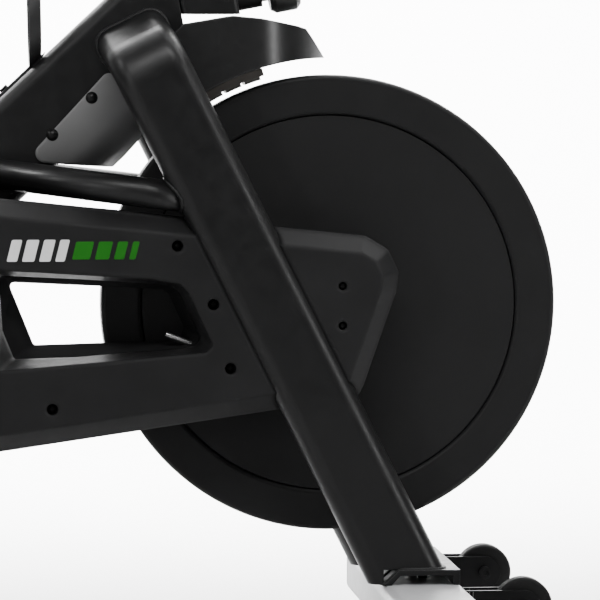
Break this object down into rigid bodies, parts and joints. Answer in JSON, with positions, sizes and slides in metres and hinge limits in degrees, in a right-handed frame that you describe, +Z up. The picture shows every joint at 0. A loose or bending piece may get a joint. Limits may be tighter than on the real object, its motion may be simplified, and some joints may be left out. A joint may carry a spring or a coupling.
{
  "type": "exercise bike",
  "caption": "Indoor cycling exercise bike with belt-driven flywheel, magnetic brake, adjustable saddle and handlebar, on two stabilizers.",
  "frame": {"origin": "floor, under the middle of the bike's bounding box", "axes": "+X forward towards the flywheel, +Y to the rider's left, +Z up"},
  "size_m": [1.137, 0.532, 1.1307],
  "materials": {
    "frame_paint": "satin black powder coat",
    "silver_paint": "satin silver paint",
    "bracket_paint": "satin black powder coat",
    "black_plastic": "moulded black plastic",
    "bearing_steel": "ground steel",
    "bare_steel": "zinc-plated steel",
    "rubber": "black rubber",
    "black_fastener": "black oxide",
    "cover_plastic": "satin black moulded plastic",
    "inner_plastic": "matte dark moulded plastic",
    "belt_rubber": "ribbed belt rubber",
    "grey_fairing": "satin grey moulded plastic",
    "shroud_plastic": "satin black moulded plastic",
    "flywheel_coat": "fine matt black coat",
    "disc_plastic": "fine matt black",
    "hub_alloy": "turned steel",
    "pulley_plastic": "moulded glass-filled plastic",
    "crank_paint": "gloss black paint",
    "pedal_plastic": "moulded black plastic",
    "toe_strap": "flexible black plastic",
    "brake_steel": "brown-grey passivated steel",
    "magnet": "nickel-plated magnet",
    "satin_chrome": "satin chrome",
    "saddle_cover": "black synthetic leather",
    "bar_paint": "satin black powder coat",
    "grip_foam": "black foam",
    "screen_glass": "smoked screen window",
    "stripe_green": "printed green stripe",
    "stripe_white": "printed white stripe"
  },
  "bodies": {
    "root": {"main_beam": "frame_paint", "front_leg_right": "frame_paint", "front_leg_left": "frame_paint", "brace_tube_right": "frame_paint", "brace_tube_left": "frame_paint", "head_sleeve": "frame_paint", "seat_sleeve": "frame_paint", "sleeve_bushings": "black_plastic", "bb_bearings": "bearing_steel", "flywheel_axle": "bare_steel", "base_plates": "frame_paint", "front_stabilizer": "silver_paint", "rear_stabilizer": "silver_paint", "wheel_brackets": "bracket_paint", "stabilizer_caps": "black_plastic", "front_feet": "rubber", "frame_bolts": "black_fastener", "belt_cover_outer": "cover_plastic", "belt_cover_front_cap": "cover_plastic", "belt_cover_inner": "inner_plastic", "cover_screws": "black_fastener", "belt_tension_bolt": "bare_steel", "drive_belt": "belt_rubber", "belly_fairing": "grey_fairing", "brake_shroud": "shroud_plastic", "bottle_cage": "black_plastic"},
    "flywheel": {"flywheel_disc": "flywheel_coat", "flywheel_covers": "disc_plastic", "hub_pulley": "hub_alloy", "hub_bearings": "bearing_steel"},
    "crankset": {"crank_spindle": "bare_steel", "crank_pulley": "pulley_plastic", "crank_arm_right": "crank_paint", "crank_arm_left": "crank_paint", "pedal_axles": "bare_steel"},
    "pedal_r": {"pedal_right": "pedal_plastic", "toe_cage_right": "toe_strap"},
    "pedal_l": {"pedal_left": "pedal_plastic", "toe_cage_left": "toe_strap"},
    "brake": {"brake_bracket": "brake_steel", "brake_magnets": "magnet"},
    "tension": {"tension_knob": "black_plastic"},
    "seat_mast": {"seat_post": "frame_paint"},
    "saddle": {"seat_slider": "satin_chrome", "saddle_clamp": "bare_steel", "saddle_shell": "black_plastic", "saddle_pad": "saddle_cover"},
    "bar_mast": {"handlebar_post": "frame_paint"},
    "bars": {"handlebar_slider": "satin_chrome", "handlebar": "bar_paint", "grips": "grip_foam", "console": "black_plastic"},
    "head_lock": {"head_pin": "black_plastic"},
    "seat_lock": {"seat_pin": "black_plastic"},
    "seat_slide_lock": {"seat_slide_knob": "black_plastic"},
    "bar_slide_lock": {"handlebar_slide_knob": "black_plastic"},
    "roller_r": {"transport_wheel_right": "rubber"},
    "roller_l": {"transport_wheel_left": "rubber"},
    "foot_r": {"rear_foot_right": "rubber"},
    "foot_l": {"rear_foot_left": "rubber"}
  },
  "joints": [
    {"name": "flywheel_spin", "type": "hinge", "parent": "root", "child": "flywheel", "pos_m": [0.3235, 0, 0.36], "axis": [0, 1, 0], "continuous": true},
    {"name": "crank_spin", "type": "hinge", "parent": "root", "child": "crankset", "pos_m": [-0.1535, 0, 0.339], "axis": [0, 1, 0], "continuous": true},
    {"name": "pedal_right_spin", "type": "hinge", "parent": "crankset", "child": "pedal_r", "pos_m": [-0.1535, -0.185, 0.169], "axis": [0, 1, 0], "continuous": true},
    {"name": "pedal_left_spin", "type": "hinge", "parent": "crankset", "child": "pedal_l", "pos_m": [-0.1535, 0.185, 0.509], "axis": [0, 1, 0], "continuous": true},
    {"name": "tension_turn", "type": "hinge", "parent": "root", "child": "tension", "pos_m": [0.09933, 0, 0.71831], "axis": [0.6845, 0, -0.729], "range_deg": [0, 720]},
    {"name": "brake_swing", "type": "hinge", "parent": "root", "child": "brake", "pos_m": [0.14072, 0, 0.556], "axis": [0, 1, 0], "range_deg": [0, 1.8]},
    {"name": "seat_height", "type": "slide", "parent": "root", "child": "seat_mast", "axis": [-0.2924, 0, 0.9563], "range_m": [-0.08, 0.08]},
    {"name": "seat_reach", "type": "slide", "parent": "seat_mast", "child": "saddle", "axis": [1, 0, 0], "range_m": [-0.05, 0.025]},
    {"name": "handlebar_height", "type": "slide", "parent": "root", "child": "bar_mast", "axis": [-0.1908, 0, 0.9816], "range_m": [0, 0.12]},
    {"name": "handlebar_reach", "type": "slide", "parent": "bar_mast", "child": "bars", "axis": [1, 0, 0], "range_m": [-0.02, 0.06]},
    {"name": "head_pin_pull", "type": "slide", "parent": "root", "child": "head_lock", "axis": [0.9816, 0, 0.1908], "range_m": [0, 0.008], "stiffness_N_per_m": 900, "springref_m": -0.004},
    {"name": "seat_pin_pull", "type": "slide", "parent": "root", "child": "seat_lock", "axis": [0.9563, 0, 0.2924], "range_m": [0, 0.008], "stiffness_N_per_m": 900, "springref_m": -0.004},
    {"name": "seat_slide_knob_turn", "type": "hinge", "parent": "seat_mast", "child": "seat_slide_lock", "pos_m": [-0.25222, 0, 0.84801], "axis": [0, 0, 1], "range_deg": [0, 360]},
    {"name": "handlebar_slide_knob_turn", "type": "hinge", "parent": "bar_mast", "child": "bar_slide_lock", "pos_m": [0.08281, 0, 1.03239], "axis": [0, 0, 1], "range_deg": [0, 360]},
    {"name": "transport_wheel_right_spin", "type": "hinge", "parent": "root", "child": "roller_r", "pos_m": [0.5145, -0.168, 0.048], "axis": [0, 1, 0], "continuous": true},
    {"name": "transport_wheel_left_spin", "type": "hinge", "parent": "root", "child": "roller_l", "pos_m": [0.5145, 0.168, 0.048], "axis": [0, 1, 0], "continuous": true},
    {"name": "rear_foot_right_turn", "type": "hinge", "parent": "root", "child": "foot_r", "pos_m": [-0.4945, -0.215, 0], "axis": [0, 0, 1], "range_deg": [-360, 360]},
    {"name": "rear_foot_left_turn", "type": "hinge", "parent": "root", "child": "foot_l", "pos_m": [-0.4945, 0.215, 0], "axis": [0, 0, 1], "range_deg": [-360, 360]}
  ],
  "couplings": [
    {"joint": "crank_spin", "follows": "flywheel_spin", "ratio": 0.36},
    {"joint": "brake_swing", "follows": "tension_turn", "ratio": 0.0025}
  ]
}
